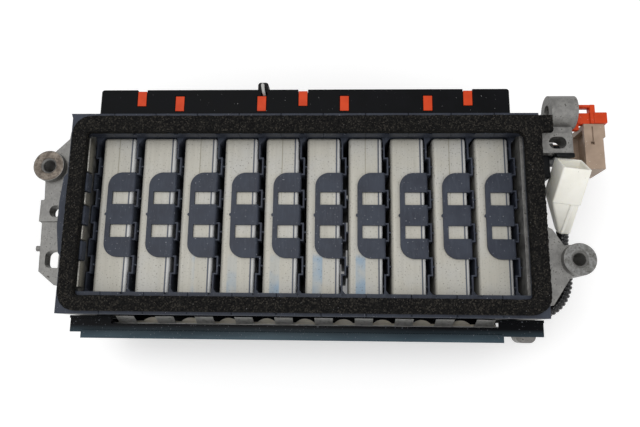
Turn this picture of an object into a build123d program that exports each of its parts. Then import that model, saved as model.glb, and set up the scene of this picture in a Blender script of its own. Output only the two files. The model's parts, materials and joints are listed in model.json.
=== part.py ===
"""Air-cooled battery module: ten prismatic cells stacked between cast end plates.

X runs along the stack, Y from the can bottoms (front) to the terminals (rear), and Z up to the
air inlet with its foam seal.  The origin is the middle of the base that the module stands on.
"""
import os
from math import cos, radians, sin

from build123d import *

# Cells: deep-drawn aluminium cans, lid and terminals to the rear
CELL_COUNT = 10
CELL_THICKNESS = 24.0
CELL_LENGTH = 115.0
CELL_WIDTH = 91.0
CAN_RADIUS = 2.7
CAN_END_RADIUS = 2.4
TERMINAL_SIZE = (16.0, 2.8, 18.0)
TERMINAL_SPREAD = 60.0
STUD_DIAMETER = 5.0
STUD_LENGTH = 7.5
VENT_SIZE = (12.0, 0.8, 20.0)

# Spacers: moulded frames with a zig-zag wall that leads cooling air past both neighbours
AIR_GAP = 6.0
WALL = 1.1
WALL_INSET_LEFT = 0.9
WALL_INSET_RIGHT = 1.5
WALL_RISE = 0.2
WALL_FLARE = 5.0
STANDOFF_RIB = 1.0
STANDOFF_DROP = 1.2
FOLD_LENGTH = 12.0
FOLD_COUNT = 7
RIM_WIDTH = 15.0
RIM_HEIGHT = 14.0
RIM_EDGE = 7.2
BASE_HEIGHT = 9.0
RIM_PLATE = 2.6
RIM_LIP = 12.0
CELL_OVERLAP = 1.5
SKIRT_WALL = 2.6
SEAM_GAP = 0.3
SEAM_BEVEL = 0.5
CELL_CLEARANCE = 0.3
END_CLEARANCE = 0.2
TAB_REACH = 20.7
TAB_LENGTH = 61.6
TAB_THICKNESS = 1.6
TAB_RADIUS = 10.0
TAB_EDGE = 1.4
TAB_BAR = 3.5
TAB_WINDOW = 9.2
TAB_BUMP = 1.1
SKIRT_WINDOW = (14.0, 60.0)
INTERLOCK = (3.0, 1.5)
CORNER_EAR = 1.2

# End plates: ribbed castings with the mounting bosses
PLATE_THICKNESS = 12.45
PLATE_SKIN = 4.0
PLATE_RIB = 4.0
ROD_MARGIN = 13.0
RIM_BEAM_HEIGHT = 6.0
RIM_BEAM_INSET_LEFT = 0.4
RIM_BEAM_INSET_RIGHT = 2.2
BEAM_NOTCHES = ((27.6, 55.0), (4.0, 14.0), (-24.0, -12.0), (-55.0, -38.0))
BEAM_NOTCH_DEPTH = 2.6
FLANGE_DROP = 8.0
FLANGE_THICKNESS = 8.0
BOSS_DIAMETER = 22.0
BOSS_BORE = 8.8
BOSS_CHAMFER = 1.5
BOSS_DEPTH = 28.0
LEFT_BOSS = (-181.0, 33.0)
RIGHT_BOSS = (188.0, -31.4)
BOSS_DROP = 2.5
PIN_HOLE = (-174.9, 0.6)
PIN_HOLE_DIAMETER = 8.5
PIN_PAD_RISE = 1.5
LUG_DIAMETER = 24.0
LUG_LENGTH = 18.4
LUG_BORE = 10.5
LUG_CENTRE = (184.0, 75.0)
SLOT_CENTRE = (179.6, 51.2)
SLOT_SIZE = (12.2, 8.8)
PAD_SIZE = (19.0, 15.0)
FOOT_SIZE = (15.0, 16.5, 13.0)
PLATE_LIP = 1.4

# Seal: open-cell foam strip stuck round the air inlet
FOAM_WIDTH = 13.0
FOAM_THICKNESS = 6.0
FOAM_RADIUS = 15.0
FOAM_LEFT = -163.0
FOAM_RIGHT = 166.3
FOAM_TAIL = 8.0

# Tie bar: folded steel channel across the can bottoms, and rods along the terminal side
BAR_SHEET = 2.0
BAR_STANDOFF = 5.6
BAR_REACH = 10.8
BAR_STEP = 1.6
BAR_STEP_WIDTH = 5.0
BAR_HEIGHT = 42.0
BAR_TOP_DROP = 41.0
BAR_LEFT = -164.0
BAR_RIGHT = 145.0
BAR_PAD_LEFT = (-173.0, -142.2)
BAR_PAD_RIGHT = (142.2, 174.0)
BAR_PAD_DEPTH = 12.0
BAR_PAD_HEIGHT = 20.0
BOLT_DIAMETER = 6.0
BOLT_HEAD = (10.0, 5.0)
BOLT_ACCESS = 15.0
ROD_DIAMETER = 6.0
ROD_NUT = (10.0, 5.0)
HOLE_CLEARANCE = 0.2

# Pressure strip and its insulator, between the tie bar and the cans
LAND_WIDTH = 13.6
LAND_DROP = 10.0
STRIP_SHEET = 1.0
STRIP_HEIGHT = 14.0
TONGUE_RADIUS = 12.0
TONGUE_DROP = 23.0
INSULATOR_SHEET = 1.6

# Busbars, their frame and the cover
BUSBAR_SHEET = 1.5
BUSBAR_HEIGHT = 16.0
NUT_SIZE = (8.0, 4.0)
FRAME_SHEET = 2.0
COVER_HALF = 146.0
COVER_DEPTH = 18.2
COVER_SHEET = 2.0
COVER_RADIUS = 2.0
COVER_DROP = 0.6
COVER_FOOT = 5.0
LATCH_SIZE = (6.2, 11.0)
LATCH_NEAR = (-88.5, -29.4, 29.8, 88.8)
LATCH_FAR = (-116.2, 0.2, 117.0)
LATCH_GAP = 0.4
FRAME_WINDOW = (20.0, 22.0)
WIRE_DIAMETER = 2.2
WIRE_PLACE = (-27.8, 85.9)
WIRE_SLOT = (4.5, 3.0)
BOOT_OFFSET = 1.0
WIRE_RISE = 3.2
WIRE_BEND = 2.8
BOOT_SIZE = (7.5, 6.0, 26.0)

# Low-voltage connector, high-voltage connector and the harness tube on the right end
LV_SIZE = (20.0, 26.0, 14.5)
LV_REAR = (18.0, 24.0, 11.0)
LV_TAIL = (9.6, 9.6)
LV_WALL = 1.5
LV_PITCH = 36.0
LV_MOUTH = (187.2, 28.5, 6.0)
LV_CAVITY = 22.0
CLIP_SHEET = 2.0
CLIP_STOP = 5.0
CLIP_STOP_RIGHT = 4.0
HV_SIZE = (13.5, 34.0, 27.0)
HV_CORNER = (204.0, 36.0)
HV_DROP = 20.0
HV_STEP = (1.6, 10.0)
HV_POCKET = (4.0, 26.0, 19.0)
HV_FOOT_HEIGHT = 6.0
HV_FOOT_WIDTH = 16.0
LOCK_WINDOW = (4.6, 4.2)
TUBE_DIAMETER = 9.0
SOCKET_SIZE = (13.0, 13.0, 14.0)

PITCH = CELL_THICKNESS + AIR_GAP
STACK_HALF = CELL_COUNT * PITCH / 2
HALF_LENGTH = CELL_LENGTH / 2
CELL_BOTTOM = BASE_HEIGHT
CELL_TOP = CELL_BOTTOM + CELL_WIDTH
CELL_MIDDLE = (CELL_BOTTOM + CELL_TOP) / 2
TOP = CELL_TOP + CELL_CLEARANCE + RIM_HEIGHT
RIM_INNER = HALF_LENGTH - CELL_OVERLAP
RIM_OUTER = RIM_INNER + RIM_WIDTH
SKIRT_INNER = HALF_LENGTH + END_CLEARANCE
SKIRT_OUTER = SKIRT_INNER + SKIRT_WALL
PLATE_INNER = STACK_HALF + AIR_GAP / 2
PLATE_OUTER = PLATE_INNER + PLATE_THICKNESS
PLATE_TOP = TOP - RIM_BEAM_HEIGHT
FLANGE_TOP = TOP - FLANGE_DROP
BAR_TOP = TOP - BAR_TOP_DROP
BAR_FACE = -RIM_OUTER - BAR_STANDOFF
TAB_BOTTOM = CELL_TOP + CELL_CLEARANCE


def block(x0, x1, y0, y1, z0, z1):
    """A plain cuboid between two corners."""
    size = (x1 - x0, y1 - y0, z1 - z0)
    return Pos((x0 + x1) / 2, (y0 + y1) / 2, (z0 + z1) / 2) * Box(*size)


def rod(start, end, diameter):
    """A round bar from start to end."""
    line = Line(start, end)
    return extrude(Plane(start, z_dir=line % 0) * Circle(diameter / 2), line.length)


def slab(points, z0, z1):
    """An outline in the XY plane raised from z0 to z1."""
    return extrude(Plane.XY.offset(z0) * Polygon(*points, align=None), z1 - z0, dir=(0, 0, 1))


def bar_of(section, x0, x1):
    """An outline in the YZ plane drawn out along X from x0 to x1."""
    return extrude(Plane.YZ.offset(x0) * Polygon(*section, align=None), x1 - x0, dir=(1, 0, 0))


def hexagon(centre, axis, across_flats, height, bore):
    """A plain hexagonal nut or bolt head, standing on centre along axis."""
    face = RegularPolygon(across_flats / 2, 6, major_radius=False)
    if bore:
        face -= Circle(bore / 2)
    return extrude(Plane(centre, z_dir=axis) * face, height)


def cell_x(index):
    """The middle of a cell, counted from the left."""
    return (index + 0.5) * PITCH - STACK_HALF


def terminal_z():
    """The heights of the two terminals on every lid."""
    return (CELL_MIDDLE - TERMINAL_SPREAD / 2, CELL_MIDDLE + TERMINAL_SPREAD / 2)


def cell(index):
    """One can with its vent and two studded terminals."""
    x = cell_x(index)
    can = Pos(x, 0, CELL_MIDDLE) * Box(CELL_THICKNESS, CELL_LENGTH, CELL_WIDTH)
    can = fillet(can.edges().filter_by(Axis.Y), CAN_RADIUS)
    for face in (can.faces().sort_by(Axis.Y)[0], can.faces().sort_by(Axis.Y)[-1]):
        can = fillet(face.edges(), CAN_END_RADIUS)
    can += Pos(x, HALF_LENGTH + VENT_SIZE[1] / 2, CELL_MIDDLE) * Box(*VENT_SIZE)
    terminal_middle = HALF_LENGTH + TERMINAL_SIZE[1] / 2
    for z in terminal_z():
        can += Pos(x, terminal_middle, z) * Box(*TERMINAL_SIZE)
        face = HALF_LENGTH + TERMINAL_SIZE[1]
        can += rod((x, face, z), (x, face + STUD_LENGTH, z), STUD_DIAMETER)
    return can


def rim_profile():
    """The section of the front frame: rims above and below the cells, joined by a skirt."""
    lip = RIM_OUTER - RIM_PLATE
    return [
        (-RIM_INNER, TOP),
        (-RIM_OUTER, TOP),
        (-RIM_OUTER, TOP - RIM_LIP),
        (-lip, TOP - RIM_LIP),
        (-lip, TOP - RIM_PLATE),
        (-SKIRT_OUTER, TOP - RIM_PLATE),
        (-SKIRT_OUTER, RIM_PLATE),
        (-lip, RIM_PLATE),
        (-lip, RIM_LIP),
        (-RIM_OUTER, RIM_LIP),
        (-RIM_OUTER, 0),
        (-RIM_INNER, 0),
        (-RIM_INNER, CELL_BOTTOM),
        (-SKIRT_INNER, CELL_BOTTOM),
        (-SKIRT_INNER, TOP - RIM_EDGE),
        (-RIM_INNER, TOP - RIM_EDGE),
    ]


def front_frame(x0, x1):
    """The front frame between two X positions."""
    return bar_of(rim_profile(), x0, x1)


def skirt_windows(x, side):
    """What is cut from the skirt in front of one cell: a window on the can, or the terminals."""
    y0, y1 = sorted((side * (SKIRT_INNER - END_CLEARANCE / 2), side * (SKIRT_OUTER + END_CLEARANCE)))
    if side < 0:
        half, height = SKIRT_WINDOW[0] / 2, SKIRT_WINDOW[1] / 2
        return block(x - half, x + half, y0, y1, CELL_MIDDLE - height, CELL_MIDDLE + height)
    half = TERMINAL_SIZE[0] / 2 + 1.0
    low, high = terminal_z()
    reach = TERMINAL_SIZE[2] / 2 + 1.0
    return block(x - half, x + half, y0, y1, low - reach, high + reach)


def seam_bevels(x, direction):
    """Small bevels where two spacers meet, on the top face of both rims."""
    wedge = Polygon((0, 0), (direction * SEAM_BEVEL, 0), (0, -SEAM_BEVEL), align=None)
    front = Plane((x, RIM_OUTER, TOP), x_dir=(1, 0, 0), z_dir=(0, -1, 0)) * wedge
    return extrude(front, 2 * RIM_OUTER)


def fold_edges():
    """The Y positions where the zig-zag wall changes side, from the front to the rear."""
    half = FOLD_COUNT * FOLD_LENGTH / 2
    inner = [index * FOLD_LENGTH - half for index in range(FOLD_COUNT + 1)]
    return [-SKIRT_INNER] + inner + [SKIRT_INNER]


def wall_sides(x):
    """The left face of the zig-zag wall where it stands to the left, and where it stands to the right."""
    return (x - AIR_GAP / 2 + WALL_INSET_LEFT, x + AIR_GAP / 2 - WALL_INSET_RIGHT - WALL)


def zigzag_wall(x):
    """The air guide: a wall that stands near the left cell and the right cell by turns."""
    left, right = wall_sides(x)
    edges = fold_edges()
    top = TAB_BOTTOM + WALL_RISE
    wall = Part()
    for index in range(len(edges) - 1):
        side = left if index % 2 == 0 else right
        wall += block(side, side + WALL, edges[index], edges[index + 1], CELL_BOTTOM, top)
    for edge in edges[1:-1]:
        wall += block(left, right + WALL, edge - WALL / 2, edge + WALL / 2, CELL_BOTTOM, top)
    return wall


def standoff_ribs(x):
    """Upright ribs that hold the zig-zag wall off both cells and join its folds to them."""
    left, right = wall_sides(x)
    edges = fold_edges()
    top = TAB_BOTTOM - STANDOFF_DROP
    half = STANDOFF_RIB / 2
    ribs = Part()
    for index in range(len(edges) - 1):
        middle = (edges[index] + edges[index + 1]) / 2
        if index % 2 == 0:
            ribs += block(x - AIR_GAP / 2, left + WALL / 2, middle - half, middle + half, CELL_BOTTOM, top)
        else:
            ribs += block(right + WALL / 2, x + AIR_GAP / 2, middle - half, middle + half, CELL_BOTTOM, top)
    return ribs


def wall_flares(x):
    """The widening of the zig-zag wall into the skirts at its two ends."""
    left, _ = wall_sides(x)
    flares = Part()
    for side in (-1, 1):
        flare = [
            (left, side * (SKIRT_INNER - WALL_FLARE)),
            (left + WALL, side * (SKIRT_INNER - WALL_FLARE)),
            (x + AIR_GAP / 2, side * SKIRT_INNER),
            (x - AIR_GAP / 2, side * SKIRT_INNER),
        ]
        flares += slab(flare, CELL_BOTTOM, TAB_BOTTOM + WALL_RISE)
    return flares


def cell_tab(x):
    """The rounded tab over the left cell: a bar with three arms that fold down into the wall."""
    half = TAB_LENGTH / 2
    left = x - TAB_REACH
    right = wall_sides(x)[0] + WALL
    tab = block(left, right, -half, half, TAB_BOTTOM, TAB_BOTTOM + TAB_THICKNESS)
    tab = fillet(tab.edges().filter_by(Axis.Z).sort_by(Axis.X)[:2], TAB_RADIUS)
    tab = fillet(tab.edges().filter_by(Axis.Y).group_by(Axis.Z)[-1].sort_by(Axis.X)[-1], TAB_EDGE)
    for y in (-FOLD_LENGTH, FOLD_LENGTH):
        tab -= block(left + TAB_BAR, right + 1, y - TAB_WINDOW / 2, y + TAB_WINDOW / 2,
                     TAB_BOTTOM - 1, TAB_BOTTOM + TAB_THICKNESS + 1)
    tab += Pos(left, 0, TAB_BOTTOM + TAB_THICKNESS / 2) * Cylinder(TAB_BUMP, TAB_THICKNESS)
    return tab


def air_guide(x):
    """Everything that stands in one air gap: the wall, its ribs and its flared ends."""
    return zigzag_wall(x) + standoff_ribs(x) + wall_flares(x)


def interlock_notches(x):
    """The square notches over the air slot, in the inner edge of both rims."""
    half = INTERLOCK[0] / 2
    cut = Part()
    for side in (-1, 1):
        y0, y1 = sorted((side * (RIM_INNER - 1), side * (RIM_INNER + INTERLOCK[1])))
        cut += block(x - half, x + half, y0, y1, TOP - RIM_PLATE, TOP + 1)
    return cut


def spacer(index):
    """The spacer between two cells, from one cell's middle to the next."""
    x = (index + 1) * PITCH - STACK_HALF
    x0 = x - (PITCH - SEAM_GAP) / 2
    x1 = x + (PITCH - SEAM_GAP) / 2
    frame = front_frame(x0, x1)
    frame += mirror(frame, Plane.XZ)
    for middle in (x - PITCH / 2, x + PITCH / 2):
        frame -= skirt_windows(middle, -1)
        frame -= skirt_windows(middle, 1)
    frame -= seam_bevels(x0, 1)
    frame -= seam_bevels(x1, -1)
    frame -= interlock_notches(x)
    frame += air_guide(x)
    frame += cell_tab(x)
    return frame


def end_spacer(side):
    """The last spacer at an end, with the beam that carries the end of the seal."""
    x = side * STACK_HALF
    inner = side * (STACK_HALF - (PITCH - SEAM_GAP) / 2)
    outer = side * (PLATE_INNER)
    frame = front_frame(min(inner, outer), max(inner, outer))
    frame += mirror(frame, Plane.XZ)
    middle = side * (STACK_HALF - PITCH / 2)
    frame -= skirt_windows(middle, -1)
    frame -= skirt_windows(middle, 1)
    frame -= seam_bevels(inner, side)
    frame += air_guide(x)
    frame += rim_beam(side)
    if side > 0:
        frame += cell_tab(x)
    return frame


def rim_beam(side):
    """The flat beam on top of an end plate, and its bulge over the left casting."""
    inset = RIM_BEAM_INSET_LEFT if side < 0 else RIM_BEAM_INSET_RIGHT
    inner = side * (PLATE_INNER + inset)
    outer = side * PLATE_OUTER
    x0, x1 = sorted((inner, outer))
    bottom = TOP - RIM_BEAM_HEIGHT
    beam = block(x0, x1, -RIM_OUTER, RIM_OUTER, bottom, TOP)
    corner0, corner1 = sorted((side * (PLATE_INNER - 1), outer))
    for y in (-1, 1):
        y0, y1 = sorted((y * RIM_INNER, y * RIM_OUTER))
        beam += block(corner0, corner1, y0, y1, bottom, TOP)
    if side < 0:
        for y0, y1 in BEAM_NOTCHES:
            beam -= block(inner - BEAM_NOTCH_DEPTH, inner + 1, y0, y1, bottom - 1, TOP + 1)
        bulge = [
            (outer + 1, -33),
            (outer - 1.5, -30),
            (outer - 4, -12),
            (outer - 4, 6),
            (outer - 2.5, 24),
            (outer + 1, 28),
        ]
        beam += slab(bulge, bottom, TOP)
        ear = [(outer + 1, RIM_OUTER), (outer - CORNER_EAR, RIM_OUTER), (outer + 1, RIM_OUTER - 6)]
        beam += slab(ear, bottom, TOP)
    return beam


def plate_body(side):
    """The ribbed wall of an end plate, with its pockets on the outer side."""
    x0, x1 = sorted((side * PLATE_INNER, side * PLATE_OUTER))
    body = block(x0, x1, -RIM_OUTER, RIM_OUTER, 0, PLATE_TOP)
    pocket0, pocket1 = sorted((side * (PLATE_INNER + PLATE_SKIN), side * (PLATE_OUTER + 1)))
    columns, rows = 5, 3
    span = 2 * (RIM_OUTER - ROD_MARGIN)
    width = (span - (columns + 1) * PLATE_RIB) / columns
    height = (PLATE_TOP - FLANGE_THICKNESS - (rows + 1) * PLATE_RIB) / rows
    for column in range(columns):
        y = -span / 2 + PLATE_RIB + column * (width + PLATE_RIB)
        for row in range(rows):
            z = PLATE_RIB + row * (height + PLATE_RIB)
            pocket = block(pocket0, pocket1, y, y + width, z, z + height)
            body -= fillet(pocket.edges().filter_by(Axis.X), PLATE_RIB)
    return body


def rod_places():
    """The Y and Z of the two rear tie rods, in the pockets of the rear rims."""
    y = (SKIRT_OUTER + RIM_OUTER - RIM_PLATE) / 2
    inset = RIM_PLATE + ROD_DIAMETER / 2 + 0.3
    return ((y, inset), (y, TOP - RIM_BEAM_HEIGHT - ROD_NUT[0] / 2 - 2.0))


def rod_holes(side):
    """Holes and sunk seats for the rods in an end plate."""
    cut = Part()
    for y, z in rod_places():
        start = (side * (PLATE_INNER - 1), y, z)
        end = (side * (PLATE_OUTER + 1), y, z)
        cut += rod(start, end, ROD_DIAMETER + 2 * HOLE_CLEARANCE)
        seat = (side * (PLATE_OUTER - ROD_NUT[1] - 1.5), y, z)
        cut += rod(seat, end, ROD_NUT[0] * 1.3)
    return cut


def bolt_places(side):
    """The X and Z of the two bolts that hold one end of the tie bar."""
    z = BAR_TOP - BAR_PAD_HEIGHT / 2 - BAR_SHEET / 2
    middle = side * (PLATE_INNER + PLATE_THICKNESS / 2)
    return ((middle, z),)


def bolt_holes(side):
    """Blind holes for the tie bar's bolts in the front face of an end plate."""
    cut = Part()
    for x, z in bolt_places(side):
        cut += rod((x, -RIM_OUTER - 1, z), (x, -RIM_OUTER + 14, z), BOLT_DIAMETER + 0.1)
    return cut


def boss(centre):
    """A round mounting boss, without its bore."""
    top = TOP - BOSS_DROP
    return rod((*centre, top - BOSS_DEPTH), (*centre, top), BOSS_DIAMETER)


def boss_bore(centre):
    """The bore of a boss with its mouth chamfers."""
    top = TOP - BOSS_DROP
    bottom = top - BOSS_DEPTH
    cut = rod((*centre, bottom - 1), (*centre, top + 1), BOSS_BORE)
    mouth = Cone(BOSS_BORE / 2, BOSS_BORE / 2 + BOSS_CHAMFER, BOSS_CHAMFER)
    cut += Pos(*centre, top - BOSS_CHAMFER / 2) * mouth
    return cut


def end_plate_left():
    """Left casting: one boss on a web, and a flange with a pin hole and a D-shaped window."""
    edge = -PLATE_OUTER
    x, y = LEFT_BOSS
    radius = BOSS_DIAMETER / 2
    flange = [
        (edge + 2, 64),
        (edge - 4, 60),
        (edge - 4.6, 54.5),
        (x + 0.4, y + radius),
        (x - 5, y),
        (x - 4, y - radius),
        (-184.3, 9.5),
        (-186, 8.8),
        (-185.6, -6.8),
        (-184.4, -8),
        (-183.4, -42),
        (-171.5, -51.5),
        (edge + 2, -53),
    ]
    plate = plate_body(-1)
    plate += slab(flange, FLANGE_TOP - FLANGE_THICKNESS, FLANGE_TOP)
    plate += boss(LEFT_BOSS)
    pad = block(-186, edge - 3.5, -6.8, 8.8, FLANGE_TOP - 1, FLANGE_TOP + PIN_PAD_RISE)
    plate += pad
    window = Pos(-174.8, -33.5, FLANGE_TOP) * Box(9.5, 12.0, 3 * FLANGE_THICKNESS)
    plate -= fillet(window.edges().filter_by(Axis.Z).sort_by(Axis.X)[:2], 4.0)
    plate -= rod((*PIN_HOLE, TOP), (*PIN_HOLE, FLANGE_TOP - FLANGE_THICKNESS - 1), PIN_HOLE_DIAMETER)
    plate += rod((-183, -25.5, FLANGE_TOP - 4), (-188, -25.5, FLANGE_TOP - 4), 4.0)
    plate -= boss_bore(LEFT_BOSS)
    plate -= rod_holes(-1)
    plate -= bolt_holes(-1)
    return plate


def end_plate_right():
    """Right casting: a lug with a cross bore, a slotted pad, a boss and a foot under the tie bar."""
    edge = PLATE_OUTER
    x, y = RIGHT_BOSS
    radius = BOSS_DIAMETER / 2
    low = FLANGE_TOP - FLANGE_THICKNESS
    flange = [
        (edge - 2, -62.5),
        (170.5, -62),
        (183.5, y - radius),
        (x, y - radius),
        (x, y + radius),
        (180, y + radius - 1),
        (172.5, -10),
        (edge - 2, -6),
    ]
    plate = plate_body(1)
    plate += slab(flange, low, FLANGE_TOP)
    plate += boss(RIGHT_BOSS)
    pad_x, pad_y = SLOT_CENTRE
    pad_right = pad_x + PAD_SIZE[0] / 2 + 1
    plate += block(edge - 2, pad_right, pad_y - PAD_SIZE[1] / 2, pad_y + PAD_SIZE[1] / 2, low, PLATE_TOP)
    lug_x, lug_y = LUG_CENTRE
    lug_z = TOP - 11.0
    half = LUG_LENGTH / 2
    plate += rod((lug_x - half, lug_y, lug_z), (lug_x + half, lug_y, lug_z), LUG_DIAMETER)
    neck_x = lug_x - half
    plate += block(neck_x, neck_x + 16, pad_y, lug_y, lug_z - 9, lug_z + 3)
    plate += block(edge - 2, neck_x + 12, pad_y, RIM_OUTER, lug_z - 9, lug_z + 1)
    plate -= rod((lug_x - half - 1, lug_y, lug_z), (lug_x + half + 1, lug_y, lug_z), LUG_BORE)
    slot = SlotOverall(SLOT_SIZE[0], SLOT_SIZE[1])
    plate -= extrude(Pos(pad_x, pad_y, TOP) * slot, -3 * FLANGE_THICKNESS)
    plate -= boss_bore(RIGHT_BOSS)
    foot_top = BAR_TOP - BAR_PAD_HEIGHT - 2.0
    foot = block(edge - 6, edge - 6 + FOOT_SIZE[0], -RIM_OUTER - FOOT_SIZE[1], -RIM_OUTER + 3,
                 foot_top - FOOT_SIZE[2], foot_top)
    plate += fillet(foot.edges().filter_by(Axis.Z).sort_by(Axis.Y)[:2], 5.0)
    plate += block(edge, edge + PLATE_LIP, -13, 43.5, low, TOP - 1)
    plate -= rod_holes(1)
    plate -= bolt_holes(1)
    return plate


def foam_seal():
    """The foam ring, with the free tail of its rear strip past the right corner."""
    front = -RIM_OUTER + 1.5
    rear = RIM_OUTER - 2.4
    length = FOAM_RIGHT - FOAM_LEFT
    depth = rear - front
    middle = ((FOAM_LEFT + FOAM_RIGHT) / 2, (front + rear) / 2)
    ring = Pos(*middle, 0) * RectangleRounded(length, depth, FOAM_RADIUS)
    ring -= Pos(*middle, 0) * Rectangle(length - 2 * FOAM_WIDTH, depth - 2 * FOAM_WIDTH)
    ring += Pos(FOAM_RIGHT - FOAM_RADIUS / 2, rear - FOAM_RADIUS / 2) * Rectangle(FOAM_RADIUS, FOAM_RADIUS)
    seal = extrude(Pos(0, 0, TOP) * ring, FOAM_THICKNESS)
    tail = block(FOAM_RIGHT - 1, FOAM_RIGHT + FOAM_TAIL, rear - FOAM_WIDTH, rear, TOP, TOP + FOAM_THICKNESS)
    return seal + tail


def bar_channel():
    """The channel of the tie bar, with a stepped upper flange."""
    y0 = BAR_FACE
    y1 = BAR_FACE - BAR_REACH
    step = BAR_FACE - BAR_STEP_WIDTH
    bottom = BAR_TOP - BAR_HEIGHT
    section = [
        (y0, BAR_TOP - BAR_STEP),
        (step, BAR_TOP - BAR_STEP),
        (step, BAR_TOP),
        (y1, BAR_TOP),
        (y1, BAR_TOP - BAR_SHEET),
        (step + BAR_SHEET, BAR_TOP - BAR_SHEET),
        (step + BAR_SHEET, BAR_TOP - BAR_STEP - BAR_SHEET),
        (y0 - BAR_SHEET, BAR_TOP - BAR_STEP - BAR_SHEET),
        (y0 - BAR_SHEET, bottom + BAR_SHEET),
        (y1 + 2, bottom + BAR_SHEET),
        (y1 + 2, bottom),
        (y0, bottom),
    ]
    return bar_of(section, BAR_LEFT, BAR_RIGHT)


def bar_pad(ends):
    """One end of the tie bar: the plate that is bolted on, and the flange above it."""
    x0, x1 = ends
    face = -RIM_OUTER
    bottom = BAR_TOP - BAR_PAD_HEIGHT
    pad = block(x0, x1, face - BAR_SHEET, face, bottom, BAR_TOP)
    flange = block(x0, x1, face - BAR_PAD_DEPTH, face, BAR_TOP - BAR_STEP - BAR_SHEET, BAR_TOP - BAR_STEP)
    return pad + flange


def front_tie_bar():
    """The folded steel bar across the front."""
    bar = bar_channel()
    for ends, side in ((BAR_PAD_LEFT, -1), (BAR_PAD_RIGHT, 1)):
        bar += bar_pad(ends)
        for x, z in bolt_places(side):
            bar -= rod((x, 0, z), (x, -2 * RIM_OUTER, z), BOLT_DIAMETER + 2 * HOLE_CLEARANCE)
            bar -= rod((x, BAR_FACE + 1, z), (x, BAR_FACE - BAR_SHEET - 1, z), BOLT_ACCESS)
    return bar


def front_bolts():
    """The hexagonal bolts of the tie bar, one at each end."""
    bolts = Part()
    for side in (-1, 1):
        for x, z in bolt_places(side):
            face = -RIM_OUTER - BAR_SHEET
            head = hexagon((x, face, z), (0, -1, 0), BOLT_HEAD[0], BOLT_HEAD[1], 0)
            bolts += head + rod((x, face, z), (x, -RIM_OUTER + 12, z), BOLT_DIAMETER)
    return bolts


def rear_tie_rods():
    """The two rods that hold the end plates together along the terminal side."""
    reach = PLATE_OUTER - 0.5
    rods = Part()
    for y, z in rod_places():
        rods += rod((-reach, y, z), (reach, y, z), ROD_DIAMETER)
    return rods


def rod_nuts():
    """The nuts of the tie rods, sunk in the end plates."""
    nuts = Part()
    for side in (-1, 1):
        seat = side * (PLATE_OUTER - ROD_NUT[1] - 1.5)
        for y, z in rod_places():
            nuts += hexagon((seat, y, z), (side, 0, 0), ROD_NUT[0], ROD_NUT[1], ROD_DIAMETER + 0.06)
    return nuts


def pressure_strip():
    """A formed steel strip on the tie bar, with a sloping land at every can."""
    top = BAR_TOP - 8.0
    bottom = top - LAND_DROP - STRIP_HEIGHT
    face = BAR_FACE
    left = cell_x(0) - PITCH / 2 + 2
    right = cell_x(CELL_COUNT - 1) + PITCH / 2 - 2
    strip = block(left, right, face, face + STRIP_SHEET, bottom, top - LAND_DROP)
    reach = BAR_STANDOFF
    land = [
        (face, top - LAND_DROP - 1.5),
        (face + STRIP_SHEET, top - LAND_DROP - 1.5),
        (face + reach, top - STRIP_SHEET),
        (face + reach, top),
    ]
    for index in range(CELL_COUNT):
        x0 = cell_x(index) - LAND_WIDTH / 2
        strip += bar_of(land, x0, x0 + LAND_WIDTH)
    return strip


def bar_insulator():
    """The plastic strip under the lands, with a rounded tongue at every air gap."""
    z1 = BAR_TOP - TONGUE_DROP - 8.0
    z0 = z1 - INSULATOR_SHEET
    root = BAR_FACE + STRIP_SHEET
    left = cell_x(0) - PITCH / 2 + 3
    right = cell_x(CELL_COUNT - 1) + PITCH / 2 - 3
    strip = block(left, right, root, root + INSULATOR_SHEET, z0 - 8, z1)
    centre = root + BAR_STANDOFF - TONGUE_RADIUS
    for index in range(CELL_COUNT - 1):
        x = cell_x(index) + PITCH / 2
        tongue = Pos(x, centre, (z0 + z1) / 2) * Cylinder(TONGUE_RADIUS, INSULATOR_SHEET)
        strip += tongue & block(x - PITCH, x + PITCH, root, 0, z0, z1)
    return strip


def busbar_spans():
    """Which terminals each busbar joins: first and last cell, height of the row."""
    low, high = terminal_z()
    spans = [(0, 0, low)]
    for index in range(CELL_COUNT - 1):
        spans.append((index, index + 1, high if index % 2 == 0 else low))
    last = low if CELL_COUNT % 2 == 0 else high
    spans.append((CELL_COUNT - 1, CELL_COUNT - 1, last))
    return spans


def busbars():
    """The copper plates that join neighbouring cells, and the two end plates of the circuit."""
    half = TERMINAL_SIZE[0] / 2
    y0 = HALF_LENGTH + TERMINAL_SIZE[1]
    bars = Part()
    for first, last, z in busbar_spans():
        x0 = cell_x(first) - half
        x1 = cell_x(last) + half
        z0 = z - BUSBAR_HEIGHT / 2
        bar = block(x0, x1, y0, y0 + BUSBAR_SHEET, z0, z0 + BUSBAR_HEIGHT)
        for index in {first, last}:
            x = cell_x(index)
            bar -= rod((x, y0 - 1, z), (x, y0 + 5, z), STUD_DIAMETER + 2 * HOLE_CLEARANCE)
        bars += bar
    return bars


def terminal_nuts():
    """The nuts on the cells' studs."""
    y = HALF_LENGTH + TERMINAL_SIZE[1] + BUSBAR_SHEET
    nuts = Part()
    for index in range(CELL_COUNT):
        for z in terminal_z():
            nuts += hexagon((cell_x(index), y, z), (0, 1, 0), NUT_SIZE[0], NUT_SIZE[1], STUD_DIAMETER + 0.06)
    return nuts


def latch_places():
    """The X and the first Y of every latch in the cover's top wall."""
    near = RIM_OUTER + END_CLEARANCE + FRAME_SHEET
    far = RIM_OUTER + COVER_DEPTH - LATCH_SIZE[1] - 1.2
    return [(x, near) for x in LATCH_NEAR] + [(x, far) for x in LATCH_FAR]


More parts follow.
